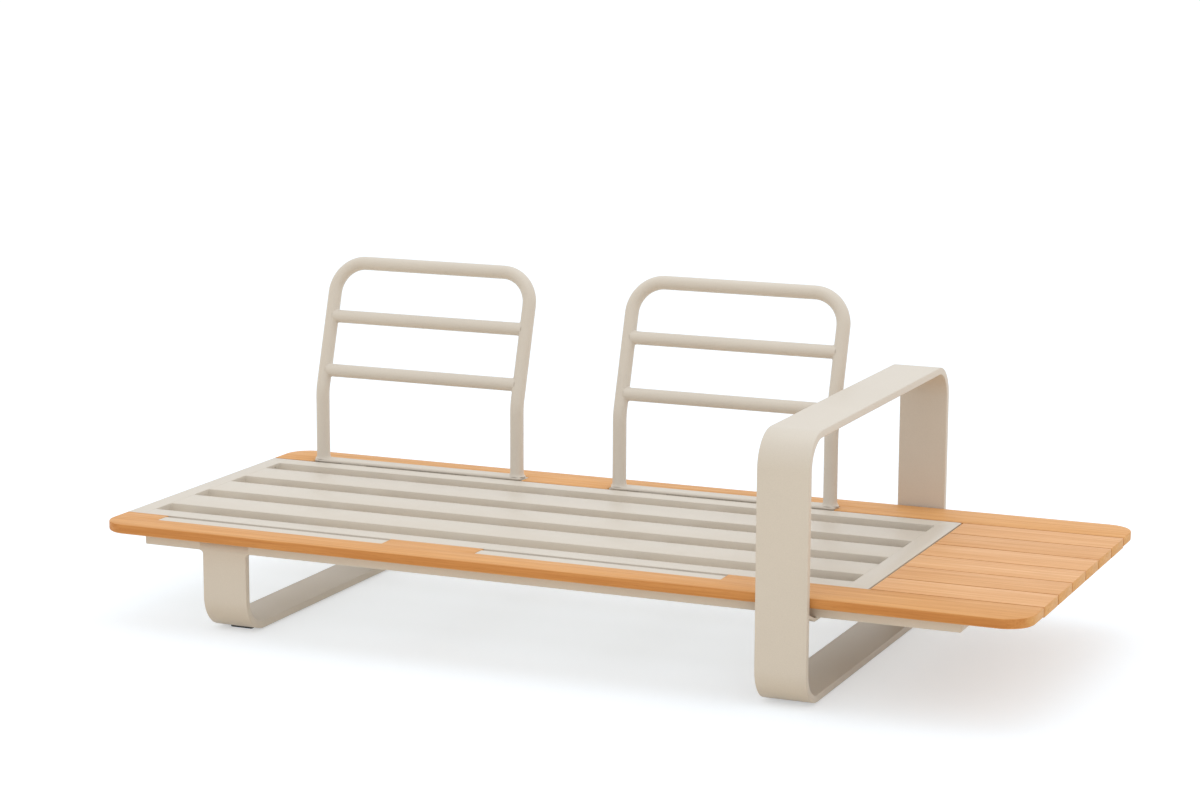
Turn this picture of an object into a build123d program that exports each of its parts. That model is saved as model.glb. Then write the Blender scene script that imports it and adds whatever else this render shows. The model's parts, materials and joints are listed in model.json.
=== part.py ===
"""Outdoor sofa module: a slatted aluminium seat deck edged in teak, with a teak
table end, a strap arm that loops round the platform, a sled leg at the other end
and two tubular backrests that lift out of receivers.

X runs along the module, from the seat end to the table end. Y runs from the
front to the rear. Z is up. The origin is on the floor, under the middle of the
module. Lengths are in millimetres and angles in degrees.
"""

from build123d import *
from math import radians, tan
import os

os.makedirs("parts", exist_ok=True)

# Teak rails and table boards
rail_width = 118
table_length = 357
table_gap = 5
board_width = 105
board_gap = 4.5
board_count = 6
board_thickness = 21.5
corner_radius = 60
teak_edge_radius = 2.5

# Seat deck, a welded grid of rectangular tubes
deck_length = 1728
deck_gap = 2.5
end_left_width = 41
end_right_width = 46
slat_width = 98
slot_width = 66.5
wide_slat_count = 3
slat_height = 21
deck_corner_radius = 1.5
profile_wall = 2

# Underframe
beam_underside = 184
beam_height = 25
beam_width = 50
beam_inset = 33
beam_left_inset = 98
beam_right_inset = 142
beam_corner_radius = 2.5
cross_beam_width = 40
cap_thickness = 3
cap_clearance = 0.1
bearer_inset = 14

# Notches in the teak rails, two along the seat
notch_left_inset = 105
notch_spacing = 218
notch_loop_inset = 109
notch_depth = 46

# Backrests, and the receivers that they drop into
post_diameter = 32
rung_diameter = 31
post_wall = 2
bend_height = 403
bend_radius = 120
lean_angle = 16.8
lean_rise = 300
hoop_corner_radius = 75
rung_shares = (0.157, 0.577)
backrest_offset = 2.25
foot_end_clearance = 3.5
foot_height = 6.5
foot_depth = 38
foot_edge_radius = 4.5
foot_end_radius = 12
flare_width = 3
flare_height = 9
receiver_width = 34
receiver_clearance = 1
tongue_thickness = 6
tongue_width = 65
tongue_inset = 90
tongue_clearance = 0.5
tongue_drop_clearance = 1
tongue_lead = 4
pocket_wall = 3
pocket_drop = 23

# Arm loop, its cross plate and the sled leg
arm_height = 560
loop_setback = 78
loop_width = 110
loop_thickness = 16
loop_clearance = 6
loop_corner_radius = 75
plate_thickness = 8
plate_rise = 13
plate_lead = 5
sled_left_inset = 242
sled_width = 107
sled_thickness = 16
sled_corner_radius = 77
sled_flare_radius = 8.5

# Glides under the loop and the sled
glide_height = 4
glide_width = 54
glide_length = 40
sled_glide_setback = 8
loop_glide_setback = 60

# Fasteners, with the clearance of their holes
hole_clearance = 0.2
teak_screw_diameter = 5
teak_screw_head_diameter = 10
teak_screw_head_height = 3
teak_screw_bite = 14
teak_screw_end_inset = 60
rail_screw_count = 6
access_hole_diameter = 13
bolt_diameter = 8
bolt_head_diameter = 14
bolt_head_height = 4.5
bolt_reach = 12
bolt_spacing = 60
glide_screw_diameter = 4
glide_screw_head_diameter = 8
glide_screw_head_height = 2.5
glide_screw_recess = 0.5
glide_screw_bite = 10
glide_screw_spacing = 22

# One overrun for every cut that has to pass a face
overrun = 2

# Heights
beam_top = beam_underside + beam_height
deck_top = beam_top + slat_height
foot_top = deck_top + foot_height
hoop_height = bend_height + lean_rise
pocket_floor = beam_top - pocket_drop
tongue_bottom = pocket_floor + pocket_wall + tongue_drop_clearance

# Places along the module
platform_length = deck_length + table_gap + table_length
left_end = -platform_length / 2
right_end = platform_length / 2
deck_right = left_end + deck_length
slat_left = left_end + end_left_width
slat_right = deck_right - end_right_width
table_left = deck_right + table_gap
beam_left = left_end + beam_left_inset
beam_right = right_end - beam_right_inset
loop_left = deck_right - loop_setback - loop_width
sled_left = left_end + sled_left_inset
notch_run = loop_left - notch_loop_inset - left_end - notch_left_inset
notch_length = (notch_run - notch_spacing) / 2
foot_length = notch_length - 2 * foot_end_clearance
post_spacing = foot_length - post_diameter
notch_centres = (
    left_end + notch_left_inset + notch_length / 2,
    loop_left - notch_loop_inset - notch_length / 2,
)
# The backrests stand off the middle of their notches, away from each other
backrest_centres = (notch_centres[0] - backrest_offset, notch_centres[1] + backrest_offset)
backrest_names = ("backrest_left", "backrest_right")

# Places from front to rear, as distances from the middle
platform_half = rail_width + board_count / 2 * board_width + (board_count + 1) / 2 * board_gap
deck_half = platform_half - rail_width - deck_gap
edge_slat_width = deck_half - (wide_slat_count * slat_width + (wide_slat_count + 1) * slot_width) / 2
beam_outer = platform_half - beam_inset
beam_inner = beam_outer - beam_width
beam_middle = beam_outer - beam_width / 2
notch_line = platform_half - rail_width + notch_depth
receiver_outer = notch_line - receiver_clearance
receiver_inner = receiver_outer - receiver_width
tongue_outer = receiver_inner - tongue_clearance
tongue_inner = tongue_outer - tongue_thickness
foot_inner = tongue_inner - tongue_clearance
foot_outer = foot_inner + foot_depth
post_line = foot_inner + foot_depth / 2
loop_outer = platform_half + loop_clearance + loop_thickness
loop_inner = platform_half + loop_clearance

# Cross beams stand clear of the pockets: at the left end, under the middle of
# each backrest, between the backrests and under the right end of the deck
cross_beam_middles = (
    beam_left + cross_beam_width / 2,
    backrest_centres[0],
    (backrest_centres[0] + backrest_centres[1]) / 2,
    backrest_centres[1],
    slat_right,
)
bearer_middles = (
    table_left + bearer_inset + cross_beam_width / 2,
    beam_right - cross_beam_width / 2,
)
board_middles = [
    -platform_half + rail_width + board_gap + board_width / 2 + index * (board_width + board_gap)
    for index in range(board_count)
]


def save(builder, label):
    """Label a finished piece and write its file."""
    builder.part.label = label
    export_step(builder.part, f"parts/{label}.step")


def rail_screw_places():
    """Screws that hold a teak rail, along the middle of its beam."""
    first = beam_left + teak_screw_end_inset
    step = (beam_right - beam_left - 2 * teak_screw_end_inset) / (rail_screw_count - 1)
    return [first + index * step for index in range(rail_screw_count)]


def tube_along_x(label, left, right, middle, width, bottom, height, radius):
    """A rectangular tube that runs along the module."""
    with BuildPart() as tube:
        with BuildSketch(Plane.YZ.offset(left)):
            with Locations((middle, bottom + height / 2)):
                RectangleRounded(width, height, radius)
                Rectangle(width - 2 * profile_wall, height - 2 * profile_wall, mode=Mode.SUBTRACT)
        extrude(amount=right - left)
    save(tube, label)


# Seat deck: five slats between two end members
slat_pitch = slat_width + slot_width
for index in range(wide_slat_count):
    slat_middle = (index - (wide_slat_count - 1) / 2) * slat_pitch
    tube_along_x(
        f"slat_{index + 2}", slat_left, slat_right, slat_middle, slat_width,
        beam_top, slat_height, deck_corner_radius,
    )
for label, side in (("slat_front", -1), ("slat_rear", 1)):
    tube_along_x(
        label, slat_left, slat_right, side * (deck_half - edge_slat_width / 2), edge_slat_width,
        beam_top, slat_height, deck_corner_radius,
    )


def tube_along_y(label, middle, half_length, width, bottom, height, radius):
    """A rectangular tube that runs from front to rear."""
    with BuildPart() as tube:
        with BuildSketch(Plane.XZ.offset(-half_length)):
            with Locations((middle, bottom + height / 2)):
                RectangleRounded(width, height, radius)
                Rectangle(width - 2 * profile_wall, height - 2 * profile_wall, mode=Mode.SUBTRACT)
        extrude(amount=2 * half_length)
    save(tube, label)


tube_along_y(
    "deck_end_left", left_end + end_left_width / 2, deck_half, end_left_width,
    beam_top, slat_height, deck_corner_radius,
)
tube_along_y(
    "deck_end_right", deck_right - end_right_width / 2, deck_half, end_right_width,
    beam_top, slat_height, deck_corner_radius,
)

# Cross beams under the deck, between the two long beams
for index, middle in enumerate(cross_beam_middles):
    tube_along_y(
        f"cross_beam_{index + 1}", middle, beam_inner, cross_beam_width,
        beam_underside, beam_height, beam_corner_radius,
    )

# Table bearers, drilled from below for the screws of the table boards
for label, middle in zip(("table_bearer_left", "table_bearer_right"), bearer_middles):
    board_screws = [(middle, place) for place in board_middles]
    with BuildPart() as bearer:
        with BuildSketch(Plane.XZ.offset(-beam_inner)):
            with Locations((middle, beam_underside + beam_height / 2)):
                RectangleRounded(cross_beam_width, beam_height, beam_corner_radius)
                Rectangle(
                    cross_beam_width - 2 * profile_wall, beam_height - 2 * profile_wall,
                    mode=Mode.SUBTRACT,
                )
        extrude(amount=2 * beam_inner)
        with BuildSketch(Plane.XY.offset(beam_underside)):
            with Locations(*board_screws):
                Circle(access_hole_diameter / 2)
        extrude(amount=beam_height / 2, mode=Mode.SUBTRACT)
        with BuildSketch(Plane.XY.offset(beam_top)):
            with Locations(*board_screws):
                Circle(teak_screw_diameter / 2 + hole_clearance)
        extrude(amount=-beam_height / 2, mode=Mode.SUBTRACT)
    save(bearer, label)

# Long beams, drilled for the rail screws and for the bolts of the arm loop
loop_middle = loop_left + loop_width / 2
bolt_places = (loop_middle - bolt_spacing / 2, loop_middle + bolt_spacing / 2)
for label, side in (("beam_front", -1), ("beam_rear", 1)):
    rail_screws = [(place, side * beam_middle) for place in rail_screw_places()]
    with BuildPart() as beam:
        with BuildSketch(Plane.YZ.offset(beam_left)):
            with Locations((side * beam_middle, beam_underside + beam_height / 2)):
                RectangleRounded(beam_width, beam_height, beam_corner_radius)
                Rectangle(
                    beam_width - 2 * profile_wall, beam_height - 2 * profile_wall,
                    mode=Mode.SUBTRACT,
                )
        extrude(amount=beam_right - beam_left)
        with BuildSketch(Plane.XY.offset(beam_underside)):
            with Locations(*rail_screws):
                Circle(access_hole_diameter / 2)
            with Locations(*[(place, side * beam_middle) for place in bolt_places]):
                Circle(bolt_diameter / 2 + hole_clearance)
        extrude(amount=beam_height / 2, mode=Mode.SUBTRACT)
        with BuildSketch(Plane.XY.offset(beam_top)):
            with Locations(*rail_screws):
                Circle(teak_screw_diameter / 2 + hole_clearance)
        extrude(amount=-beam_height / 2, mode=Mode.SUBTRACT)
    save(beam, label)

# Caps that close the ends of the long beams, flush with the tube
cap_width = beam_width - 2 * profile_wall - 2 * cap_clearance
cap_height = beam_height - 2 * profile_wall - 2 * cap_clearance
with BuildPart() as beam_end_caps:
    for cap_plane in (Plane.YZ.offset(beam_left), Plane.YZ.offset(beam_right - cap_thickness)):
        with BuildSketch(cap_plane):
            with Locations(
                (-beam_middle, beam_underside + beam_height / 2),
                (beam_middle, beam_underside + beam_height / 2),
            ):
                Rectangle(cap_width, cap_height)
        extrude(amount=cap_thickness)
save(beam_end_caps, "beam_end_caps")

# Teak rail: rounded outer corners, and a notch for each receiver
with BuildPart() as teak_front_rail:
    with BuildSketch(Plane.XY.offset(beam_top)):
        with Locations((0, -platform_half + rail_width / 2)):
            rail_outline = Rectangle(platform_length, rail_width)
        fillet(rail_outline.vertices().group_by(Axis.Y)[0], corner_radius)
        with Locations(*[(centre, -notch_line + notch_depth / 2) for centre in notch_centres]):
            Rectangle(notch_length, notch_depth, mode=Mode.SUBTRACT)
    extrude(amount=board_thickness)
    outer_edges = [
        edge
        for level in (0, -1)
        for edge in teak_front_rail.edges().group_by(Axis.Z)[level]
        if edge.center().Y < -platform_half + corner_radius or abs(edge.center().X) > right_end - overrun
    ]
    fillet(outer_edges, teak_edge_radius)
    with BuildSketch(Plane.XY.offset(beam_top)):
        with Locations(*[(place, -beam_middle) for place in rail_screw_places()]):
            Circle(teak_screw_diameter / 2 + hole_clearance)
    extrude(amount=teak_screw_bite + hole_clearance, mode=Mode.SUBTRACT)
save(teak_front_rail, "teak_front_rail")

with BuildPart() as teak_rear_rail:
    mirror(teak_front_rail.part, about=Plane.XZ)
save(teak_rear_rail, "teak_rear_rail")

# Table boards, with eased edges and pilot holes from below
for index, board_middle in enumerate(board_middles):
    with BuildPart() as table_board:
        with BuildSketch(Plane.XY.offset(beam_top)):
            with Locations(((table_left + right_end) / 2, board_middle)):
                Rectangle(right_end - table_left, board_width)
        extrude(amount=board_thickness)
        fillet(table_board.edges().group_by(Axis.Z)[-1], teak_edge_radius)
        with BuildSketch(Plane.XY.offset(beam_top)):
            with Locations(*[(middle, board_middle) for middle in bearer_middles]):
                Circle(teak_screw_diameter / 2 + hole_clearance)
        extrude(amount=teak_screw_bite + hole_clearance, mode=Mode.SUBTRACT)
    save(table_board, f"table_board_{index + 1}")

# Screws of the teak: each head bears inside a tube, against its upper wall
screw_places = [(place, side * beam_middle) for side in (-1, 1) for place in rail_screw_places()]
screw_places += [(middle, place) for middle in bearer_middles for place in board_middles]
head_top = beam_top - profile_wall
with BuildPart() as teak_screws:
    with BuildSketch(Plane.XY.offset(head_top - teak_screw_head_height)):
        with Locations(*screw_places):
            Circle(teak_screw_head_diameter / 2)
    extrude(amount=teak_screw_head_height)
    with BuildSketch(Plane.XY.offset(head_top)):
        with Locations(*screw_places):
            Circle(teak_screw_diameter / 2)
    extrude(amount=profile_wall + teak_screw_bite)
save(teak_screws, "teak_screws")

# Receivers: a flush tube in each notch, with two pockets for the tongues
pocket_width = tongue_width + 2 * tongue_clearance
pocket_depth = tongue_thickness + 2 * tongue_clearance
pocket_middle = receiver_inner - pocket_depth / 2
tongue_offset = post_spacing / 2 - tongue_inset
for side, side_name in ((-1, "front"), (1, "rear")):
    for notch, centre, end_name in zip(notch_centres, backrest_centres, ("left", "right")):
        pockets = [(centre + sign * tongue_offset, side * pocket_middle) for sign in (-1, 1)]
        with BuildPart() as receiver:
            with BuildSketch(Plane.YZ.offset(notch - notch_length / 2 + receiver_clearance)):
                with Locations((side * (receiver_inner + receiver_width / 2), beam_top + slat_height / 2)):
                    RectangleRounded(receiver_width, slat_height, deck_corner_radius)
                    Rectangle(
                        receiver_width - 2 * profile_wall, slat_height - 2 * profile_wall,
                        mode=Mode.SUBTRACT,
                    )
            extrude(amount=notch_length - 2 * receiver_clearance)
            with BuildSketch(Plane.XY.offset(pocket_floor)):
                with Locations(*pockets):
                    Rectangle(pocket_width + 2 * pocket_wall, pocket_depth + 2 * pocket_wall)
            extrude(amount=pocket_drop)
            with BuildSketch(Plane.XY.offset(pocket_floor + pocket_wall)):
                with Locations(*pockets):
                    Rectangle(pocket_width, pocket_depth)
            extrude(amount=pocket_drop, mode=Mode.SUBTRACT)
        save(receiver, f"receiver_{side_name}_{end_name}")

# Arm loop: one closed strap round the platform, drilled for its glides
glide_screw_offsets = (-glide_screw_spacing / 2, glide_screw_spacing / 2)
loop_glide_middle = loop_outer - loop_corner_radius - loop_glide_setback - glide_length / 2
loop_glides = [(loop_middle, side * loop_glide_middle) for side in (-1, 1)]
sled_middle = sled_left + sled_width / 2
sled_glide_middle = beam_outer - sled_corner_radius - sled_glide_setback - glide_length / 2
sled_glides = [(sled_middle, side * sled_glide_middle) for side in (-1, 1)]


def glide_screw_places(glides):
    """Two screws in each glide, one behind the other."""
    return [(x, y + offset) for x, y in glides for offset in glide_screw_offsets]


with BuildPart() as arm_loop:
    with BuildSketch(Plane.YZ.offset(loop_left)):
        with Locations((0, (arm_height + glide_height) / 2)):
            RectangleRounded(2 * loop_outer, arm_height - glide_height, loop_corner_radius)
            RectangleRounded(
                2 * loop_inner, arm_height - glide_height - 2 * loop_thickness,
                loop_corner_radius - loop_thickness, mode=Mode.SUBTRACT,
            )
    extrude(amount=loop_width)
    with BuildSketch(Plane.XY.offset(glide_height)):
        with Locations(*glide_screw_places(loop_glides)):
            Circle(glide_screw_diameter / 2 + hole_clearance)
    extrude(amount=glide_screw_bite + hole_clearance, mode=Mode.SUBTRACT)
save(arm_loop, "arm_loop")

# Cross plate of the loop: it dips from the loop to pass under both beams
plate_bottom = beam_underside - plate_thickness
plate_bend = beam_outer + plate_lead
plate_lower_edge = [
    (-loop_inner, plate_bottom + plate_rise),
    (-plate_bend, plate_bottom),
    (plate_bend, plate_bottom),
    (loop_inner, plate_bottom + plate_rise),
]
plate_upper_edge = [(y, z + plate_thickness) for y, z in reversed(plate_lower_edge)]
with BuildPart() as loop_cross_plate:
    with BuildSketch(Plane.YZ.offset(loop_left)):
        with BuildLine():
            Polyline(*plate_lower_edge, *plate_upper_edge, close=True)
        make_face()
    extrude(amount=loop_width)
    with BuildSketch(Plane.XY.offset(plate_bottom)):
        with Locations(*[(place, side * beam_middle) for place in bolt_places for side in (-1, 1)]):
            Circle(bolt_diameter / 2 + hole_clearance)
    extrude(amount=plate_thickness, mode=Mode.SUBTRACT)
save(loop_cross_plate, "loop_cross_plate")

# Bolts from below, through the cross plate into the beams
with BuildPart() as loop_bolts:
    with BuildSketch(Plane.XY.offset(plate_bottom - bolt_head_height)):
        with Locations(*[(place, side * beam_middle) for place in bolt_places for side in (-1, 1)]):
            Circle(bolt_head_diameter / 2)
    extrude(amount=bolt_head_height)
    with BuildSketch(Plane.XY.offset(plate_bottom)):
        with Locations(*[(place, side * beam_middle) for place in bolt_places for side in (-1, 1)]):
            Circle(bolt_diameter / 2)
    extrude(amount=plate_thickness + bolt_reach)
save(loop_bolts, "loop_bolts")

# Sled leg: a strap bent to a U, flared where it is welded to the beams
sled_rise = beam_underside - glide_height
with BuildPart() as left_sled:
    with BuildSketch(Plane.YZ.offset(sled_left)):
        with Locations((0, glide_height + sled_rise / 2)):
            sled_outline = Rectangle(2 * beam_outer, sled_rise)
        fillet(sled_outline.vertices().group_by(Axis.Y)[0], sled_corner_radius)
        with BuildSketch(mode=Mode.SUBTRACT):
            with Locations((0, glide_height + sled_thickness + sled_rise / 2)):
                sled_hollow = Rectangle(2 * (beam_outer - sled_thickness), sled_rise)
            fillet(sled_hollow.vertices().group_by(Axis.Y)[0], sled_corner_radius - sled_thickness)
    extrude(amount=sled_width)
    for side in (-1, 1):
        flare_middle = sled_middle + side * (sled_width + sled_flare_radius) / 2
        flare_arc = sled_middle + side * (sled_width / 2 + sled_flare_radius)
        with BuildSketch(Plane.XZ.offset(-beam_outer)) as flare_profile:
            with Locations((flare_middle, beam_underside - sled_flare_radius / 2)):
                Rectangle(sled_flare_radius, sled_flare_radius)
            with Locations((flare_arc, beam_underside - sled_flare_radius)):
                Circle(sled_flare_radius, mode=Mode.SUBTRACT)
        extrude(amount=sled_thickness)
        extrude(flare_profile.sketch.moved(Location((0, sled_thickness - 2 * beam_outer, 0))), sled_thickness)
    with BuildSketch(Plane.XY.offset(glide_height)):
        with Locations(*glide_screw_places(sled_glides)):
            Circle(glide_screw_diameter / 2 + hole_clearance)
    extrude(amount=glide_screw_bite + hole_clearance, mode=Mode.SUBTRACT)
save(left_sled, "left_sled")

# Glides, each held by two countersunk screws
for label, glides in (("loop_glides", loop_glides), ("sled_glides", sled_glides)):
    with BuildPart() as glide_pair:
        with BuildSketch(Plane.XY):
            with Locations(*glides):
                RectangleRounded(glide_width, glide_length, glide_height)
        extrude(amount=glide_height)
        with Locations(*[(x, y, 0) for x, y in glide_screw_places(glides)]):
            Cylinder(
                glide_screw_head_diameter / 2 + hole_clearance,
                glide_screw_recess + glide_screw_head_height + hole_clearance,
                align=(Align.CENTER, Align.CENTER, Align.MIN), mode=Mode.SUBTRACT,
            )
            Cylinder(
                glide_screw_diameter / 2 + hole_clearance, glide_height,
                align=(Align.CENTER, Align.CENTER, Align.MIN), mode=Mode.SUBTRACT,
            )
    save(glide_pair, label)

glide_screw_bottoms = [
    (x, y, glide_screw_recess) for x, y in glide_screw_places(loop_glides + sled_glides)
]
glide_screw_length = glide_height - glide_screw_recess + glide_screw_bite
with BuildPart() as glide_screws:
    with Locations(*glide_screw_bottoms):
        Cylinder(
            glide_screw_head_diameter / 2, glide_screw_head_height,
            align=(Align.CENTER, Align.CENTER, Align.MIN),
        )
        Cylinder(
            glide_screw_diameter / 2, glide_screw_length,
            align=(Align.CENTER, Align.CENTER, Align.MIN),
        )
save(glide_screws, "glide_screws")


def lean_at(height):
    """How far back a leaning post has gone at a height above its bend."""
    return (height - bend_height) * tan(radians(lean_angle))


def hoop_path(centre):
    """Corners of the hoop's centre line, from one foot to the other."""
    left_post = centre - post_spacing / 2
    right_post = centre + post_spacing / 2
    top_line = post_line + lean_at(hoop_height)
    return [
        (left_post, post_line, foot_top),
        (left_post, post_line, bend_height),
        (left_post, top_line, hoop_height),
        (right_post, top_line, hoop_height),
        (right_post, post_line, bend_height),
        (right_post, post_line, foot_top),
    ]


hoop_radii = [bend_radius, hoop_corner_radius, hoop_corner_radius, bend_radius]

for name, centre in zip(backrest_names, backrest_centres):
    # Hoop: both posts and the top in one bent tube, flared at its feet
    with BuildPart() as hoop:
        with BuildLine() as hoop_line:
            FilletPolyline(*hoop_path(centre), radius=hoop_radii)
        with BuildSketch(Plane(origin=hoop_path(centre)[0], z_dir=(0, 0, 1))):
            Circle(post_diameter / 2)
            Circle(post_diameter / 2 - post_wall, mode=Mode.SUBTRACT)
        sweep(path=hoop_line.wires()[0])
        for post in (centre - post_spacing / 2, centre + post_spacing / 2):
            with BuildSketch(Plane.XZ.offset(-post_line)):
                with BuildLine():
                    Polyline(
                        (post + post_diameter / 2, foot_top + flare_height),
                        (post + (post_diameter - post_wall) / 2, foot_top + flare_height),
                        (post + (post_diameter - post_wall) / 2, foot_top),
                        (post + post_diameter / 2 + flare_width, foot_top),
                    )
                    ThreePointArc(
                        (post + post_diameter / 2 + flare_width, foot_top),
                        (post + post_diameter / 2 + flare_width / 4, foot_top + flare_height / 4),
                        (post + post_diameter / 2, foot_top + flare_height),
                    )
                make_face()
            revolve(axis=Axis((post, post_line, foot_top), (0, 0, 1)))
    save(hoop, f"{name}_hoop")

    # Rungs: straight tubes a little slimmer than the posts, saddle cut to them
    for rung_name, rung_share in zip(("lower_rung", "upper_rung"), rung_shares):
        rung_height = bend_height + rung_share * lean_rise
        rung_line = post_line + lean_at(rung_height)
        with BuildPart() as rung:
            with BuildSketch(Plane.YZ.offset(centre - post_spacing / 2)):
                with Locations((rung_line, rung_height)):
                    Circle(rung_diameter / 2)
                    Circle(rung_diameter / 2 - post_wall, mode=Mode.SUBTRACT)
            extrude(amount=post_spacing)
            for post in (centre - post_spacing / 2, centre + post_spacing / 2):
                post_plane = Plane(
                    origin=(post, rung_line, rung_height),
                    z_dir=(0, lean_at(hoop_height), lean_rise),
                )
                with BuildSketch(post_plane):
                    Circle(post_diameter / 2)
                extrude(amount=post_diameter, both=True, mode=Mode.SUBTRACT)
        save(rung, f"{name}_{rung_name}")

    # Foot bar: a flat bar with rounded edges, that the posts stand on
    with BuildPart() as foot_bar:
        with BuildSketch(Plane.XY.offset(deck_top)):
            with Locations((centre, post_line)):
                RectangleRounded(foot_length, foot_depth, foot_end_radius)
        extrude(amount=foot_height)
        fillet(foot_bar.edges().group_by(Axis.Z)[-1], foot_edge_radius)
    save(foot_bar, f"{name}_foot_bar")

    # Tongues: two plates under the foot bar, with chamfered leading edges
    for sign, end_name in ((-1, "left"), (1, "right")):
        with BuildPart() as tongue:
            with BuildSketch(Plane.XZ.offset(-tongue_inner)):
                with Locations((centre + sign * tongue_offset, (deck_top + tongue_bottom) / 2)):
                    tongue_outline = Rectangle(tongue_width, deck_top - tongue_bottom)
                chamfer(tongue_outline.vertices().group_by(Axis.Y)[0], tongue_lead)
            extrude(amount=-tongue_thickness)
        save(tongue, f"{name}_tongue_{end_name}")
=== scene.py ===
"""Looks of the outdoor sofa module: powder-coated straps, tubes and slats, oiled teak
rails and table boards, and the studio that they are photographed in.

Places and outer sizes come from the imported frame, in metres. Bends, walls, edges and
finishes are given here. X runs along the module, from the seat end to the table end,
Y from the front to the rear, and Z is up.
"""

import json
from math import cos, pi, radians, sin, tan

import bpy
from mathutils import Matrix, Vector


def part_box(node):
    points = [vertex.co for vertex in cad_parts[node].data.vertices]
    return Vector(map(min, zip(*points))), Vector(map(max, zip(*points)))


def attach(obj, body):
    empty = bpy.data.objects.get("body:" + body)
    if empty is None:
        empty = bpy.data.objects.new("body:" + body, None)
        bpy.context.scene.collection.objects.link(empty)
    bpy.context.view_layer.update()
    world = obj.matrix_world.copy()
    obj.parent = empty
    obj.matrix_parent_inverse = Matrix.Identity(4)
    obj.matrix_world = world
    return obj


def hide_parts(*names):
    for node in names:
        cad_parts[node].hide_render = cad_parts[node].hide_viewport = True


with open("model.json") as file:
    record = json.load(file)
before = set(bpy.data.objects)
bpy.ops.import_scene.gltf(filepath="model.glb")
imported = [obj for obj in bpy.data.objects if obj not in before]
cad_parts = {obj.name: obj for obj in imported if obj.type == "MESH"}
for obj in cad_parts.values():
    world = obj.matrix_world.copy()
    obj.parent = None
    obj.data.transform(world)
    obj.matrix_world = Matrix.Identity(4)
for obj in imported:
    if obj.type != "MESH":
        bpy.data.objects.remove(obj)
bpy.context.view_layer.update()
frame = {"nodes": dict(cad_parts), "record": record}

MM = 0.001
X, Y, Z = range(3)
X_AXIS = Vector((1, 0, 0))

# How close two places count as one, and how far a cutter stands out of what it cuts
NEAR = 0.1 * MM
CUT_REACH = 5 * MM

# How finely edges, bends and tubes are rounded
EDGE_STEPS = 4
FINE_STEPS = 2
CORNER_STEPS = 24
TUBE_SIDES = 48
SMALL_SIDES = 24

# Edges sharper than this are eased, and edges flatter than this are shaded smooth
SHARP_ANGLE = 50
SMOOTH_ANGLE = 28
TUBE_SMOOTH_ANGLE = 40
WELD_SMOOTH_ANGLE = 60


# Tools
def deselect():
    """Leave edit mode and select nothing."""
    if bpy.context.object and bpy.context.object.mode != "OBJECT":
        bpy.ops.object.mode_set(mode="OBJECT")
    bpy.ops.object.select_all(action="DESELECT")


def take(piece):
    """Make one piece the only one selected, and the active one."""
    deselect()
    piece.select_set(True)
    bpy.context.view_layer.objects.active = piece


def settle(piece):
    """Put a piece's place into its mesh, so that its object sits at the origin."""
    take(piece)
    bpy.ops.object.transform_apply(location=True, rotation=True, scale=True)
    return piece


def block(name, first, second):
    """A closed box between two opposite corners."""
    first, second = Vector(first), Vector(second)
    deselect()
    bpy.ops.mesh.primitive_cube_add(size=1, location=(first + second) / 2)
    piece = bpy.context.object
    piece.name = name
    piece.scale = [abs(length) for length in second - first]
    return settle(piece)


def plate(name, low, high):
    """A flat face in the plane where the two corners have the same value."""
    low, high = Vector(low), Vector(high)
    middle = (low + high) / 2
    size = high - low
    flat = min((X, Y, Z), key=lambda axis: abs(size[axis]))
    turned = {X: (0, pi / 2, 0), Y: (pi / 2, 0, 0), Z: (0, 0, 0)}
    deselect()
    bpy.ops.mesh.primitive_plane_add(size=1, location=middle, rotation=turned[flat])
    piece = bpy.context.object
    piece.name = name
    settle(piece)
    for vertex in piece.data.vertices:
        for axis in (X, Y, Z):
            if axis != flat:
                vertex.co[axis] = middle[axis] + (vertex.co[axis] - middle[axis]) * size[axis]
    return piece


def rod(name, centre, radius, depth, direction=(0, 0, 0), sides=TUBE_SIDES):
    """A round bar about its centre, upright unless it is turned."""
    deselect()
    bpy.ops.mesh.primitive_cylinder_add(
        vertices=sides, radius=radius, depth=depth, location=centre, rotation=direction
    )
    piece = bpy.context.object
    piece.name = name
    return settle(piece)


def choose(piece, kind, test):
    """Open a piece in edit mode with the vertices, edges or faces that pass a test selected."""
    take(piece)
    bpy.ops.object.mode_set(mode="EDIT")
    bpy.ops.mesh.select_mode(type={"vertices": "VERT", "edges": "EDGE", "polygons": "FACE"}[kind])
    bpy.ops.mesh.select_all(action="DESELECT")
    bpy.ops.object.mode_set(mode="OBJECT")
    for item in getattr(piece.data, kind):
        item.select = test(item)
    bpy.ops.object.mode_set(mode="EDIT")


def edge_ends(piece, edge):
    """The places of an edge's two ends."""
    return [piece.data.vertices[index].co for index in edge.vertices]


def is_along(piece, edge, axis):
    """Whether an edge runs along one of the three directions."""
    first, second = edge_ends(piece, edge)
    step = second - first
    return abs(step[axis]) > 0.999 * step.length


def lies_at(piece, edge, axis, level):
    """Whether both ends of an edge are at one level of an axis."""
    return all(abs(end[axis] - level) < NEAR for end in edge_ends(piece, edge))


def bevel_edges(piece, width, steps, test):
    """Round the edges that pass a test."""
    choose(piece, "edges", test)
    bpy.ops.mesh.bevel(offset=width, segments=steps, profile=0.5, affect="EDGES", clamp_overlap=True)
    bpy.ops.object.mode_set(mode="OBJECT")


def bevel_corners(piece, radius, test):
    """Round the corners of a flat outline."""
    choose(piece, "vertices", test)
    bpy.ops.mesh.bevel(offset=radius, segments=CORNER_STEPS, profile=0.5, affect="VERTICES")
    bpy.ops.object.mode_set(mode="OBJECT")


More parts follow.
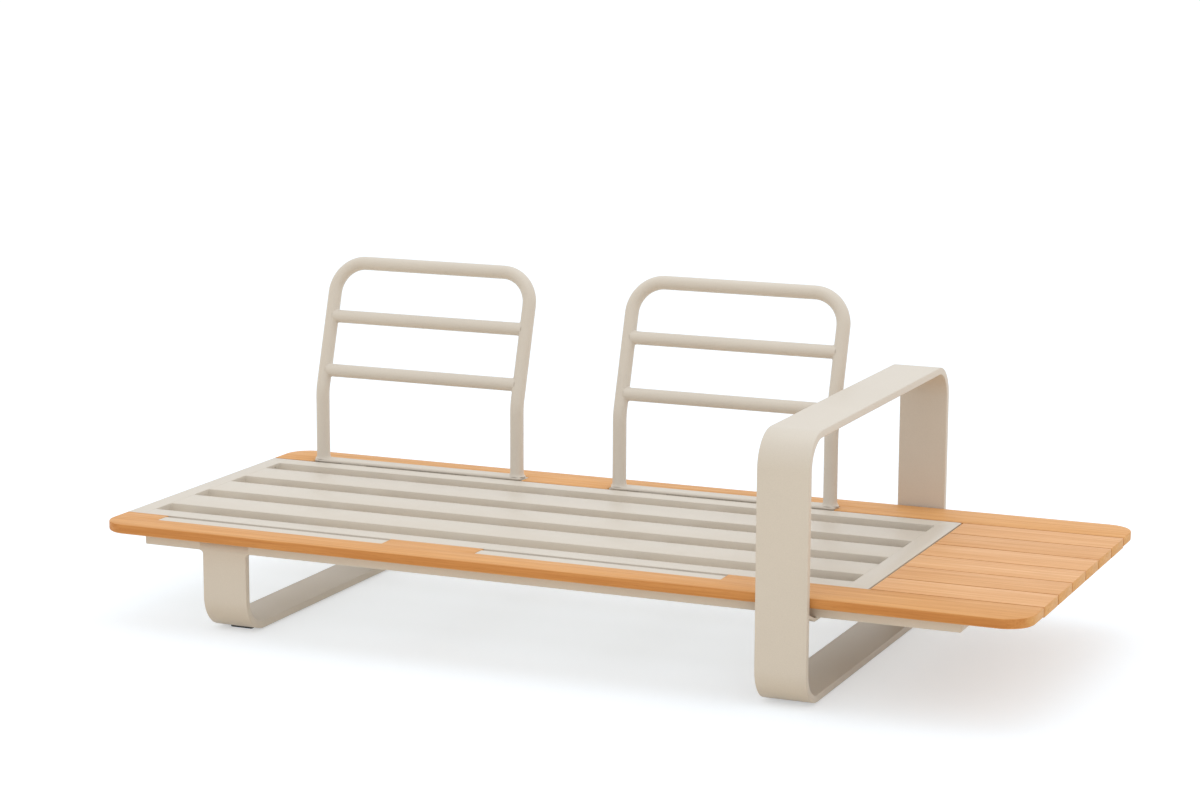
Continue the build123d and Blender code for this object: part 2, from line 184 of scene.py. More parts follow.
def extrude_all(piece, step):
    """Give a flat outline its thickness."""
    choose(piece, "polygons", lambda face: True)
    bpy.ops.mesh.extrude_region_move(TRANSFORM_OT_translate={"value": step})
    bpy.ops.mesh.select_all(action="SELECT")
    bpy.ops.mesh.normals_make_consistent(inside=False)
    bpy.ops.object.mode_set(mode="OBJECT")


def cut(piece, *cutters):
    """Take the cutters out of a piece, and remove them."""
    for cutter in cutters:
        take(piece)
        taking = piece.modifiers.new("cut", "BOOLEAN")
        taking.object = cutter
        taking.operation = "DIFFERENCE"
        taking.solver = "EXACT"
        bpy.ops.object.modifier_apply(modifier=taking.name)
        bpy.data.objects.remove(cutter)


def shade(piece, angle=SMOOTH_ANGLE):
    """Shade a piece smooth, but for its sharper edges."""
    take(piece)
    bpy.ops.object.shade_smooth_by_angle(angle=radians(angle))


def round_edges(piece, width, steps=EDGE_STEPS, angle=SHARP_ANGLE):
    """Ease every sharp edge that is left, and shade the piece."""
    take(piece)
    ease = piece.modifiers.new("ease", "BEVEL")
    ease.width = width
    ease.segments = steps
    ease.limit_method = "ANGLE"
    ease.angle_limit = radians(angle)
    ease.miter_outer = "MITER_ARC"
    bpy.ops.object.modifier_apply(modifier=ease.name)
    shade(piece)


def join(name, pieces):
    """Make one piece of several."""
    deselect()
    for piece in pieces:
        piece.select_set(True)
    bpy.context.view_layer.objects.active = pieces[0]
    bpy.ops.object.join()
    pieces[0].name = name
    return pieces[0]


# Materials
PAINT_TONES = ((0.640, 0.600, 0.548), (0.665, 0.625, 0.573))
PAINT_ROUGHNESS = (0.36, 0.50)

STREAK_TONES = ((0.660, 0.325, 0.122), (0.745, 0.400, 0.168), (0.815, 0.470, 0.218))
GROWTH_TONE = (0.560, 0.260, 0.085)
FIBRE_TONE = (0.470, 0.200, 0.065)
PORE_TONE = (0.330, 0.135, 0.045)
END_GRAIN_TONES = ((0.640, 0.330, 0.108), (0.760, 0.430, 0.165))
BOARD_TINTS = ((0.95, 0.93, 0.90), (1.0, 1.0, 1.0), (1.03, 1.06, 1.12))
# The tint of the painted shade on teak faces that don't look up or down
SIDE_SHADE_TINT = (0.85, 0.73, 0.57)
RAIL_TINT = (1.03, 1.0, 0.88)
TABLE_TINT = (1.08, 1.13, 1.28)
TEAK_ROUGHNESS = (0.62, 0.50)
GRAIN_SHIFT = 3.0
GROWTH_LINES = 9.0

PLASTIC_TONES = ((0.020, 0.028, 0.040), (0.032, 0.042, 0.056))
STEEL_TONES = ((0.52, 0.52, 0.53), (0.64, 0.64, 0.65))
STEEL_ROUGHNESS = (0.28, 0.40)

# The boards' pitch across the module; a board's number is counted from BOARD_START
board_low, board_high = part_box("table_board_1")
next_low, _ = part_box("table_board_2")
BOARD_PITCH = next_low.y - board_low.y
BOARD_START = (BOARD_PITCH - (board_high.y - board_low.y)) / 2 - board_low.y


class Recipe:
    """A material's nodes, added and wired one at a time."""

    def __init__(self, name):
        self.material = bpy.data.materials.new(name)
        self.material.use_nodes = True
        self.tree = self.material.node_tree
        self.shader = self.tree.nodes["Principled BSDF"]
        self.place = self.add("ShaderNodeTexCoord").outputs["Object"]

    def add(self, kind, settings=None, **inputs):
        """A node with its settings, and its inputs by name."""
        node = self.tree.nodes.new(kind)
        for key, value in (settings or {}).items():
            setattr(node, key, value)
        for key, value in inputs.items():
            self.feed(node.inputs[key.replace("_", " ")], value)
        return node

    def feed(self, socket, value):
        """Link a socket to an output, or set it to a value."""
        if isinstance(value, bpy.types.NodeSocket):
            self.tree.links.new(value, socket)
        else:
            socket.default_value = value

    def scaled(self, scale, source=None):
        """The place on the piece, stretched or squeezed along each axis."""
        node = self.add("ShaderNodeMapping", Scale=scale)
        self.feed(node.inputs["Vector"], source or self.place)
        return node.outputs["Vector"]

    def noise(self, vector, scale=1.0, detail=2.0, roughness=0.5, distortion=0.0):
        node = self.add("ShaderNodeTexNoise", Scale=scale, Detail=detail, Roughness=roughness)
        self.feed(node.inputs["Distortion"], distortion)
        self.feed(node.inputs["Vector"], vector)
        return node.outputs["Fac"]

    def ramp(self, factor, *stops):
        """A colour ramp; each stop is a position with a colour or a grey."""
        node = self.add("ShaderNodeValToRGB", Fac=factor)
        elements = node.color_ramp.elements
        while len(elements) < len(stops):
            elements.new(0.5)
        for element, (position, colour) in zip(elements, stops):
            element.position = position
            element.color = (*colour, 1) if isinstance(colour, tuple) else (colour, colour, colour, 1)
        return node.outputs["Color"]

    def range(self, value, low, high, new_low, new_high):
        """A value's range from low to high, spread over a new range."""
        node = self.add("ShaderNodeMapRange", Value=value)
        for socket, number in zip(list(node.inputs)[1:5], (low, high, new_low, new_high)):
            socket.default_value = number
        return node.outputs["Result"]

    def math(self, operation, first, second=0.0):
        node = self.add("ShaderNodeMath", {"operation": operation})
        self.feed(node.inputs[0], first)
        self.feed(node.inputs[1], second)
        return node.outputs["Value"]

    def mix(self, factor, first, second, blend="MIX"):
        """Two colours mixed by a factor."""
        node = self.add("ShaderNodeMix", {"data_type": "RGBA", "blend_type": blend})
        self.feed(node.inputs["Factor"], factor)
        for name, value in (("A", first), ("B", second)):
            socket = next(entry for entry in node.inputs if entry.name == name and entry.type == "RGBA")
            self.feed(socket, (*value, 1) if isinstance(value, tuple) else value)
        return next(entry for entry in node.outputs if entry.type == "RGBA")

    def bump(self, height, strength, distance):
        """Relief on the surface, its distance in metres."""
        node = self.add("ShaderNodeBump", Height=height, Strength=strength, Distance=distance)
        self.feed(self.shader.inputs["Normal"], node.outputs["Normal"])

    def normal_part(self, axis):
        """How far the surface faces along one direction, whichever way."""
        node = self.add("ShaderNodeSeparateXYZ")
        self.feed(node.inputs[0], self.add("ShaderNodeNewGeometry").outputs["True Normal"])
        return self.math("ABSOLUTE", node.outputs[axis])


def powder_coat():
    """Warm greige powder coat: satin, with a fine even texture and faint clouding."""
    paint = Recipe("powder_coat")
    cloud = paint.noise(paint.place, 3.0, detail=3)
    sand = paint.noise(paint.place, 900.0, roughness=0.6)
    tone = paint.mix(paint.range(cloud, 0.3, 0.7, 0, 1), *PAINT_TONES)
    speckle = paint.ramp(sand, (0.30, 0.955), (0.62, 1.03))
    paint.feed(paint.shader.inputs["Base Color"], paint.mix(1.0, tone, speckle, "MULTIPLY"))
    paint.feed(paint.shader.inputs["Roughness"], paint.range(sand, 0.25, 0.75, *PAINT_ROUGHNESS))
    paint.bump(sand, strength=0.12, distance=0.4 * MM)
    return paint.material


def teak(name, tone):
    """Oiled teak: long wavering streaks, short dark pores and a tint for each board.

    Faces that look up keep the full tone, the others get a deeper painted shade, and
    board ends show end grain. The grain's scales are given along, across and upwards, per metre.
    """
    wood = Recipe(name)
    split = wood.add("ShaderNodeSeparateXYZ")
    wood.feed(split.inputs[0], wood.place)
    across = wood.math("ADD", split.outputs["Y"], BOARD_START)
    board = wood.math("FLOOR", wood.math("DIVIDE", across, BOARD_PITCH))
    chance = wood.add("ShaderNodeTexWhiteNoise", {"noise_dimensions": "1D"})
    wood.feed(chance.inputs["W"], board)
    shift = wood.add("ShaderNodeVectorMath", {"operation": "SCALE"})
    wood.feed(shift.inputs[0], chance.outputs["Color"])
    shift.inputs["Scale"].default_value = GRAIN_SHIFT
    moved = wood.add("ShaderNodeVectorMath", {"operation": "ADD"})
    wood.feed(moved.inputs[0], wood.place)
    wood.feed(moved.inputs[1], shift.outputs["Vector"])
    inside = moved.outputs["Vector"]

    streaks = wood.noise(wood.scaled((3.0, 115, 115), inside), detail=4, roughness=0.6, distortion=0.35)
    arches = wood.noise(wood.scaled((1.2, 24, 36), inside), detail=2, roughness=0.45, distortion=0.8)
    growth = wood.math("FRACT", wood.math("MULTIPLY", arches, GROWTH_LINES))
    growth = wood.math("MULTIPLY", growth, wood.math("SUBTRACT", 1.0, growth))
    pores = wood.noise(wood.scaled((45, 1300, 1300), inside), detail=1, roughness=0.4)
    fibres = wood.noise(wood.scaled((9, 520, 520), inside), detail=2, roughness=0.6)

    long_grain = wood.ramp(streaks, *zip((0.30, 0.50, 0.70), STREAK_TONES))
    long_grain = wood.mix(wood.range(growth, 0.0, 0.25, 0.20, 0.0), long_grain, GROWTH_TONE)
    long_grain = wood.mix(wood.range(fibres, 0.35, 0.70, 0.22, 0.0), long_grain, FIBRE_TONE)
    long_grain = wood.mix(wood.range(pores, 0.62, 0.74, 0.0, 0.26), long_grain, PORE_TONE)
    tint = wood.ramp(chance.outputs["Value"], *zip((0.0, 0.5, 1.0), BOARD_TINTS))
    long_grain = wood.mix(1.0, wood.mix(1.0, long_grain, tone, "MULTIPLY"), tint, "MULTIPLY")

    rings = wood.noise(wood.scaled((1, 60, 210), inside), detail=3, roughness=0.6, distortion=0.6)
    end_grain = wood.ramp(rings, *zip((0.30, 0.70), END_GRAIN_TONES))
    # Painted shade: faces that don't look up or down are darkened and made more saturated
    unshaded_faces = wood.range(wood.normal_part("Z"), 0.2, 0.9, 0.0, 1.0)
    facing_end = wood.range(wood.normal_part("X"), 0.75, 0.95, 0.0, 1.0)
    painted_side_shade = wood.mix(1.0, long_grain, SIDE_SHADE_TINT, "MULTIPLY")
    colour = wood.mix(unshaded_faces, painted_side_shade, long_grain)
    wood.feed(wood.shader.inputs["Base Color"], wood.mix(facing_end, colour, end_grain))
    wood.feed(wood.shader.inputs["Roughness"], wood.range(streaks, 0.3, 0.7, *TEAK_ROUGHNESS))
    wood.shader.inputs["Specular IOR Level"].default_value = 0.35
    wood.bump(wood.mix(0.5, fibres, pores), strength=0.25, distance=0.5 * MM)
    return wood.material


def glide_plastic():
    """Matt blue-black plastic with a fine moulded grain."""
    plastic = Recipe("glide")
    grain = plastic.noise(plastic.place, 1100.0)
    tone = plastic.ramp(grain, *zip((0.3, 0.7), PLASTIC_TONES))
    plastic.feed(plastic.shader.inputs["Base Color"], tone)
    plastic.shader.inputs["Roughness"].default_value = 0.55
    plastic.bump(grain, strength=0.2, distance=0.3 * MM)
    return plastic.material


def plain_steel():
    """Stainless steel of the screws and bolts, finely turned."""
    steel = Recipe("steel")
    turning = steel.noise(steel.scaled((900, 900, 4000)))
    tone = steel.ramp(turning, *zip((0.3, 0.7), STEEL_TONES))
    steel.feed(steel.shader.inputs["Base Color"], tone)
    steel.shader.inputs["Metallic"].default_value = 1.0
    steel.feed(steel.shader.inputs["Roughness"], steel.range(turning, 0.3, 0.7, *STEEL_ROUGHNESS))
    steel.bump(turning, strength=0.15, distance=0.2 * MM)
    return steel.material


FINISHES = {
    "powder_coat": powder_coat(),
    "teak": teak("teak", RAIL_TINT),
    "pale_teak": teak("pale_teak", TABLE_TINT),
    "glide": glide_plastic(),
    "steel": plain_steel(),
}


def dress(piece, finish):
    """Give a piece or a CAD node its material."""
    piece.data.materials.clear()
    piece.data.materials.append(FINISHES[finish])


def hand_over(piece, body, finish, *nodes):
    """Finish a piece, and let it stand for its CAD nodes."""
    settle(piece)
    dress(piece, finish)
    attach(piece, body)
    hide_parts(*nodes)


for part in frame["record"]["subparts"]:
    dress(frame["nodes"][part["node"]], part["material_slot"])


# Teak
RAIL_CORNER = 60 * MM
RAIL_UPPER_EDGE = 2.5 * MM
RAIL_LOWER_EDGE = 5 * MM
BOARD_EDGE = 0.5 * MM
TEAK_FINE_EDGE = 0.3 * MM
NOTCH_GAP = 1 * MM
TABLE_BOARDS = 6


def teak_rail(name, node, side):
    """A long rail: rounded outer corners, and a notch for each receiver."""
    low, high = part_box(node)
    row = "front" if side < 0 else "rear"
    outer, inner = (low.y, high.y) if side < 0 else (high.y, low.y)
    rail = plate(name, low, (high.x, high.y, low.z))
    bevel_corners(rail, RAIL_CORNER, lambda vertex: abs(vertex.co.y - outer) < NEAR)
    extrude_all(rail, (0, 0, high.z - low.z))
    for width, level in ((RAIL_UPPER_EDGE, high.z), (RAIL_LOWER_EDGE, low.z)):
        bevel_edges(
            rail, width, EDGE_STEPS,
            lambda edge: lies_at(rail, edge, Z, level) and not lies_at(rail, edge, Y, inner),
        )
    for end in ("left", "right"):
        strip_low, strip_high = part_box(f"receiver_{row}_{end}")
        reach = (strip_low.y if side < 0 else strip_high.y) + side * NOTCH_GAP
        notch = block(
            "notch",
            (strip_low.x - NOTCH_GAP, reach, low.z - CUT_REACH),
            (strip_high.x + NOTCH_GAP, inner - side * CUT_REACH, high.z + CUT_REACH),
        )
        cut(rail, notch)
    round_edges(rail, TEAK_FINE_EDGE, FINE_STEPS)
    hand_over(rail, "platform", "teak", node)


def table_board(number):
    """A table board with eased edges."""
    node = f"table_board_{number}"
    low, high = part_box(node)
    board = block(f"teak_board_{number}", low, high)
    bevel_edges(board, BOARD_EDGE, EDGE_STEPS, lambda edge: lies_at(board, edge, Z, high.z))
    round_edges(board, TEAK_FINE_EDGE, FINE_STEPS)
    hand_over(board, "platform", "pale_teak", node)


teak_rail("front_rail", "teak_front_rail", -1)
teak_rail("rear_rail", "teak_rear_rail", 1)
for number in range(1, TABLE_BOARDS + 1):
    table_board(number)


# Deck
SLATS = ("slat_front", "slat_2", "slat_3", "slat_4", "slat_rear")
DECK_EDGE = 0.4 * MM
WELD_CORNER = 3 * MM
SEAM_WIDTH = 0.7 * MM
SEAM_DEPTH = 0.35 * MM

# The vent hole in the left end member, at its share of the rearmost slot's width
VENT_RADIUS = 2.4 * MM
VENT_LENGTH = 14 * MM
VENT_DEPTH = 7.6 * MM
VENT_SHARE = 0.69


def deck_grid():
    """The welded deck: slats ground flush with the end members, with faint seams."""
    left_low, left_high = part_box("deck_end_left")
    right_low, right_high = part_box("deck_end_right")
    slats = [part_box(slat) for slat in SLATS]
    grid = block("deck_grid", left_low, right_high)
    slots = []
    for (_, front), (rear, _) in zip(slats, slats[1:]):
        slot = block(
            "slot",
            (left_high.x, front.y, left_low.z - CUT_REACH),
            (right_low.x, rear.y, left_high.z + CUT_REACH),
        )
        bevel_edges(slot, WELD_CORNER, EDGE_STEPS, lambda edge: is_along(slot, edge, Z))
        slots.append(slot)
    cut(grid, *slots)
    round_edges(grid, DECK_EDGE, FINE_STEPS)
    seams = []
    for low, high in slats:
        for line in (left_high.x, right_low.x):
            seam = block(
                "seam",
                (line - SEAM_WIDTH / 2, low.y + WELD_CORNER, high.z - SEAM_DEPTH),
                (line + SEAM_WIDTH / 2, high.y - WELD_CORNER, high.z + SEAM_DEPTH),
            )
            seams.append(seam)
    slot_front, slot_rear = slats[-2][1].y, slats[-1][0].y
    vent_line = slot_front + VENT_SHARE * (slot_rear - slot_front)
    vent_place = (left_high.x, vent_line, left_high.z - VENT_DEPTH)
    vent = rod("vent", vent_place, VENT_RADIUS, VENT_LENGTH, (0, pi / 2, 0))
    cut(grid, *seams, vent)
    shade(grid)
    hand_over(grid, "platform", "powder_coat", "deck_end_left", "deck_end_right", *SLATS)


deck_grid()


# Underframe
BEAM_EDGE = 2.5 * MM
BEAM_WALL = 2 * MM
CAP_THICKNESS = 3 * MM
CAP_PROUD = 0.3 * MM
CAP_EDGE = 0.9 * CAP_PROUD

# The access holes: a cutter that starts below the beam and ends inside it
HOLES = 6
HOLE_RADIUS = 6.5 * MM
HOLE_INSET = 60 * MM
HOLE_START = 10 * MM
HOLE_DEPTH = 20 * MM

STRAP_THICKNESS = 16 * MM
STRAP_EDGE = 2.2 * MM
LOOP_CORNER = 75 * MM
PLATE_THICKNESS = 8 * MM
PLATE_EDGE = 1.2 * MM
PLATE_BEND_GAP = 5 * MM

SLED_CORNER = 77 * MM
SLED_FLARE = 8.5 * MM
SLED_FLARE_STEPS = 7
SLED_SHARP_ANGLE = 60
SLED_SPARE_HEIGHT = 3
WELD_PROUD = 0.15 * MM

GLIDE_DEPTH = 40 * MM
GLIDE_CORNER = 4 * MM
GLIDE_EDGE = 0.5 * MM
SLED_GLIDE_LIP = (18 * MM, 0.6 * MM)

BOLT_HEAD = 7 * MM
BOLT_EDGE = 0.8 * MM
BOLT_SOCKET = 2.9 * MM
BOLT_SHANK = 4 * MM


def long_beam(name, node):
    """A long beam with closed, welded ends and access holes for the rail screws."""
    low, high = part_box(node)
    beam = block(name, low, high)
    round_edges(beam, BEAM_EDGE)
    first, last = low.x + HOLE_INSET, high.x - HOLE_INSET
    middle = (low.y + high.y) / 2
    for index in range(HOLES):
        along = first + (last - first) * index / (HOLES - 1)
        place = (along, middle, low.z + (HOLE_DEPTH - HOLE_START) / 2)
        cut(beam, rod("hole", place, HOLE_RADIUS, HOLE_DEPTH + HOLE_START, sides=SMALL_SIDES))
    shade(beam)
    hand_over(beam, "platform", "powder_coat", node)


def beam_caps():
    """The plates welded into the beams' ends and ground almost flush."""
    caps_low, caps_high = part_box("beam_end_caps")
    caps = []
    for beam in ("beam_front", "beam_rear"):
        low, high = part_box(beam)
        ends = (
            (low.x + CAP_THICKNESS, caps_low.x - CAP_PROUD),
            (high.x - CAP_THICKNESS, caps_high.x + CAP_PROUD),
        )
        for inner, outer in ends:
            cap = block(
                "cap",
                (inner, low.y + BEAM_WALL, low.z + BEAM_WALL),
                (outer, high.y - BEAM_WALL, high.z - BEAM_WALL),
            )
            bevel_edges(cap, BEAM_WALL, EDGE_STEPS, lambda edge: is_along(cap, edge, X))
            round_edges(cap, CAP_EDGE, FINE_STEPS)
            caps.append(cap)
    hand_over(join("beam_caps", caps), "platform", "powder_coat", "beam_end_caps")


def strap_ring(name, low, high, corner, test):
    """A flat strap bent to a ring: an outline, inset by the strap's thickness."""
    ring = plate(name, (low.x, low.y, low.z), (low.x, high.y, high.z))
    bevel_corners(ring, corner, test)
    choose(ring, "polygons", lambda face: True)
    bpy.ops.mesh.inset(thickness=STRAP_THICKNESS, depth=0, use_even_offset=True)
    bpy.ops.mesh.delete(type="FACE")
    bpy.ops.object.mode_set(mode="OBJECT")
    extrude_all(ring, (high.x - low.x, 0, 0))
    return ring


def arm_loop():
    """The closed strap that carries the platform and makes the arm."""
    low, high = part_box("arm_loop")
    loop = strap_ring("loop_strap", low, high, LOOP_CORNER, lambda vertex: True)
    round_edges(loop, STRAP_EDGE)
    hand_over(loop, "platform", "powder_coat", "arm_loop")


def cross_plate():
    """The plate that dips from the loop to pass under both beams."""
    low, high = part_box("loop_cross_plate")
    beam_low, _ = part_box("beam_front")
    bend = -beam_low.y + PLATE_BEND_GAP
    rise = high.z - low.z - PLATE_THICKNESS
    dip = plate("cross_plate", (low.x, low.y, low.z + rise), (high.x, -bend, low.z + rise))
    for vertex in dip.data.vertices:
        if vertex.co.y > -bend - NEAR:
            vertex.co.z = low.z
    for step in ((0, 2 * bend, 0), (0, high.y - bend, rise)):
        far = max(vertex.co.y for vertex in dip.data.vertices)
        choose(dip, "edges", lambda edge: lies_at(dip, edge, Y, far))
        bpy.ops.mesh.extrude_region_move(TRANSFORM_OT_translate={"value": step})
        bpy.ops.object.mode_set(mode="OBJECT")
    extrude_all(dip, (0, 0, PLATE_THICKNESS))
    round_edges(dip, PLATE_EDGE, steps=3)
    hand_over(dip, "platform", "powder_coat", "loop_cross_plate")


def sled_leg():
    """The U-bent strap under the seat end, flared where it runs into the beams' faces."""
    low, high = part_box("left_sled")
    _, beam_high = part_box("beam_front")
    top = beam_high.z - WELD_PROUD
    flare_start = high.z - SLED_FLARE
    strap_low = Vector((low.x + SLED_FLARE, low.y, low.z))
    strap_high = Vector((high.x - SLED_FLARE, high.y, top * SLED_SPARE_HEIGHT))
    leg = strap_ring(
        "sled_strap", strap_low, strap_high, SLED_CORNER, lambda vertex: vertex.co.z < low.z + NEAR
    )
    # The ring is taller than the leg: it is cut off at the top, and divided where it flares
    take(leg)
    bpy.ops.object.mode_set(mode="EDIT")
    flare_levels = [high.z - SLED_FLARE * step / SLED_FLARE_STEPS for step in range(SLED_FLARE_STEPS + 1)]
    for height in (top, *flare_levels):
        bpy.ops.mesh.select_all(action="SELECT")
        bpy.ops.mesh.bisect(plane_co=(0, 0, height), plane_no=(0, 0, 1), clear_outer=height == top)
    bpy.ops.object.mode_set(mode="OBJECT")
    middle = (strap_low.x + strap_high.x) / 2
    for vertex in leg.data.vertices:
        above = min(vertex.co.z - flare_start, SLED_FLARE)
        if above > 0:
            spread = SLED_FLARE - (SLED_FLARE**2 - above**2) ** 0.5
            vertex.co.x += spread if vertex.co.x > middle else -spread
    round_edges(leg, STRAP_EDGE, angle=SLED_SHARP_ANGLE)
    # The outer face stands a little proud of the beam that it is ground flush with
    for vertex in leg.data.vertices:
        if vertex.co.z > low.z + SLED_CORNER + MM and abs(vertex.co.y) > high.y - STRAP_THICKNESS / 2:
            vertex.co.y += WELD_PROUD if vertex.co.y > 0 else -WELD_PROUD
    choose(leg, "edges", lambda edge: lies_at(leg, edge, Z, top))
    bpy.ops.mesh.fill_holes(sides=0)
    bpy.ops.object.mode_set(mode="OBJECT")
    hand_over(leg, "platform", "powder_coat", "left_sled")


def glides(name, node, lip=(0, 0)):
    """A pair of glides; a lip runs up the strap's bend where the bend is close."""
    low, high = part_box(node)
    lip_length, lip_rise = lip
    pair = []
    for side, edge_line in ((-1, low.y), (1, high.y)):
        inner = edge_line - side * GLIDE_DEPTH
        outer = edge_line + side * lip_length
        glide = block("glide", (low.x, outer, low.z), (high.x, inner, high.z))
        for vertex in glide.data.vertices:
            if vertex.co.z > low.z + NEAR and abs(vertex.co.y - outer) < NEAR:
                vertex.co.z += lip_rise
        bevel_edges(glide, GLIDE_CORNER, EDGE_STEPS, lambda edge: is_along(glide, edge, Z))
        round_edges(glide, GLIDE_EDGE, FINE_STEPS)
        pair.append(glide)
    hand_over(join(name, pair), "platform", "glide", node)


def bolts():
    """Socket bolts that hold the cross plate to the beams."""
    low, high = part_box("loop_bolts")
    plate_low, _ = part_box("loop_cross_plate")
    parts = []
    for x in (low.x + BOLT_HEAD, high.x - BOLT_HEAD):
        for y in (low.y + BOLT_HEAD, high.y - BOLT_HEAD):
            head = rod("head", (x, y, (low.z + plate_low.z) / 2), BOLT_HEAD, plate_low.z - low.z)
            round_edges(head, BOLT_EDGE, steps=3)
            cut(head, rod("socket", (x, y, low.z), BOLT_SOCKET, BOLT_SOCKET * 2, sides=6))
            shade(head)
            shank_place = (x, y, (plate_low.z + high.z) / 2)
            shank = rod("shank", shank_place, BOLT_SHANK, high.z - plate_low.z, sides=SMALL_SIDES)
            shade(shank)
            parts += [head, shank]
    hand_over(join("bolts", parts), "platform", "steel", "loop_bolts")


long_beam("front_beam", "beam_front")
long_beam("rear_beam", "beam_rear")
beam_caps()
arm_loop()
cross_plate()
sled_leg()
glides("sled_feet", "sled_glides", SLED_GLIDE_LIP)
glides("loop_feet", "loop_glides")
bolts()


# Backrests
POST_RADIUS = 16 * MM
RUNG_RADIUS = 15.5 * MM
RUNG_SHARES = {"lower": 0.157, "upper": 0.577}

# The posts stand upright to the bend, and lean back from there to the hoop's corners
LEAN = radians(16.8)
LEAN_RISE = 300 * MM
BEND_HEIGHT = 403 * MM
BEND_RADIUS = 120 * MM
BEND_RUN = BEND_RADIUS * tan(LEAN / 2)
BEND_STEPS = 8
HOOP_CORNER = 75 * MM
HOOP_CORNER_STEPS = 18
ALONG_POST = Vector((0, sin(LEAN), cos(LEAN)))
ACROSS_POST = Vector((0, cos(LEAN), -sin(LEAN)))

# The foot's flare, wider along the bar than across it
FLARE = (4 * MM, 3 * MM)
FLARE_HEIGHT = 10 * MM
FLARE_STEPS = 6

WELD_RADIUS = 4.5 * MM
WELD_TURNS = 72
WELD_ARCS = 6

BAR_EDGE = 4.2 * MM
BAR_EDGE_STEPS = 5
BAR_LOWER_EDGE = 0.8 * MM
BAR_END_RADIUS = 6 * MM
BAR_END_STEPS = 10


def run_on(step):
    """Extrude the selected ring of a tube in a straight line."""
    bpy.ops.mesh.extrude_region_move(TRANSFORM_OT_translate={"value": step})


def turn_on(centre, axis, angle, steps):
    """Spin the selected ring of a tube round a bend; the spin tool counts angles backwards."""
    bpy.ops.mesh.spin(steps=steps, angle=-angle, center=centre, axis=axis)


def widen(foot, share, next_share):
    """Bring the selected ring from one share of the foot's flare to another."""
    ratio = [(1 + flare * next_share / POST_RADIUS) / (1 + flare * share / POST_RADIUS) for flare in FLARE]
    bpy.ops.transform.resize(value=(*ratio, 1), center_override=foot)


def run_flare(foot, rings):
    """Run the selected ring of a tube along a foot's flare, up or down."""
    for (share, height), (next_share, next_height) in zip(rings, rings[1:]):
        run_on((0, 0, (next_height - height) * FLARE_HEIGHT))
        widen(foot, share, next_share)


def hoop_tube(name, centre, spacing, line, foot_top, top):
    """Both posts and the top of a backrest, bent from one tube."""
    left = Vector((centre - spacing / 2, line, foot_top))
    right = Vector((centre + spacing / 2, line, foot_top))
    bend_start = BEND_HEIGHT - BEND_RUN
    upright = bend_start - foot_top - FLARE_HEIGHT
    slope = (top - BEND_HEIGHT) / cos(LEAN)
    leaning = slope - BEND_RUN - HOOP_CORNER
    turns = [step / FLARE_STEPS * pi / 2 for step in range(FLARE_STEPS + 1)]
    rings = [(1 - sin(turn), 1 - cos(turn)) for turn in turns]
    deselect()
    bpy.ops.mesh.primitive_circle_add(vertices=TUBE_SIDES, radius=POST_RADIUS, location=left)
    tube = settle(bpy.context.object)
    tube.name = name
    bpy.ops.object.mode_set(mode="EDIT")
    bpy.ops.mesh.select_mode(type="EDGE")
    bpy.ops.mesh.select_all(action="SELECT")
    # Up the left post
    widen(left, 0, 1)
    run_flare(left, rings)
    run_on((0, 0, upright))
    turn_on((left.x, line + BEND_RADIUS, bend_start), X_AXIS, -LEAN, BEND_STEPS)
    run_on(ALONG_POST * leaning)
    # Across the top
    corner = Vector((left.x, line, BEND_HEIGHT)) + ALONG_POST * (slope - HOOP_CORNER)
    turn_on(corner + X_AXIS * HOOP_CORNER, ACROSS_POST, pi / 2, HOOP_CORNER_STEPS)
    run_on(X_AXIS * (spacing - 2 * HOOP_CORNER))
    corner = Vector((right.x, line, BEND_HEIGHT)) + ALONG_POST * (slope - HOOP_CORNER)
    turn_on(corner - X_AXIS * HOOP_CORNER, ACROSS_POST, pi / 2, HOOP_CORNER_STEPS)
    # Down the right post
    run_on(ALONG_POST * -leaning)
    turn_on((right.x, line + BEND_RADIUS, bend_start), X_AXIS, LEAN, BEND_STEPS)
    run_on((0, 0, -upright))
    run_flare(right, rings[::-1])
    bpy.ops.mesh.select_all(action="SELECT")
    bpy.ops.mesh.remove_doubles(threshold=NEAR / 10)
    bpy.ops.mesh.normals_make_consistent(inside=False)
    bpy.ops.object.mode_set(mode="OBJECT")
    shade(tube, TUBE_SMOOTH_ANGLE)
    return tube


def weld_bead(post, inward):
    """The blend between a rung and its post, as a ball rolled round the joint leaves it."""
    round_rung = RUNG_RADIUS + WELD_RADIUS
    round_post = POST_RADIUS + WELD_RADIUS
    points = []
    for step in range(WELD_TURNS):
        angle = 2 * pi * step / WELD_TURNS
        aside, above = round_rung * cos(angle), round_rung * sin(angle)
        reach = (round_post**2 - aside**2) ** 0.5
        on_rung = Vector((0, -cos(angle), -sin(angle)))
        on_post = Vector((-reach, -aside, 0)) / round_post
        for arc in range(WELD_ARCS + 1):
            toward = on_rung.slerp(on_post, arc / WELD_ARCS, on_rung) * WELD_RADIUS
            outward = X_AXIS * ((reach + toward.x) * inward)
            points.append(post + outward + ACROSS_POST * (aside + toward.y) + ALONG_POST * (above + toward.z))
    faces = []
    for step in range(WELD_TURNS):
        for arc in range(WELD_ARCS):
            here = step * (WELD_ARCS + 1) + arc
            there = (step + 1) % WELD_TURNS * (WELD_ARCS + 1) + arc
            face = (here, there, there + 1, here + 1)
            faces.append(face if inward > 0 else (face[0], face[3], face[2], face[1]))
    mesh = bpy.data.meshes.new("weld")
    mesh.from_pydata(points, [], faces)
    bead = bpy.data.objects.new("weld", mesh)
    bpy.context.scene.collection.objects.link(bead)
    shade(bead, WELD_SMOOTH_ANGLE)
    return bead


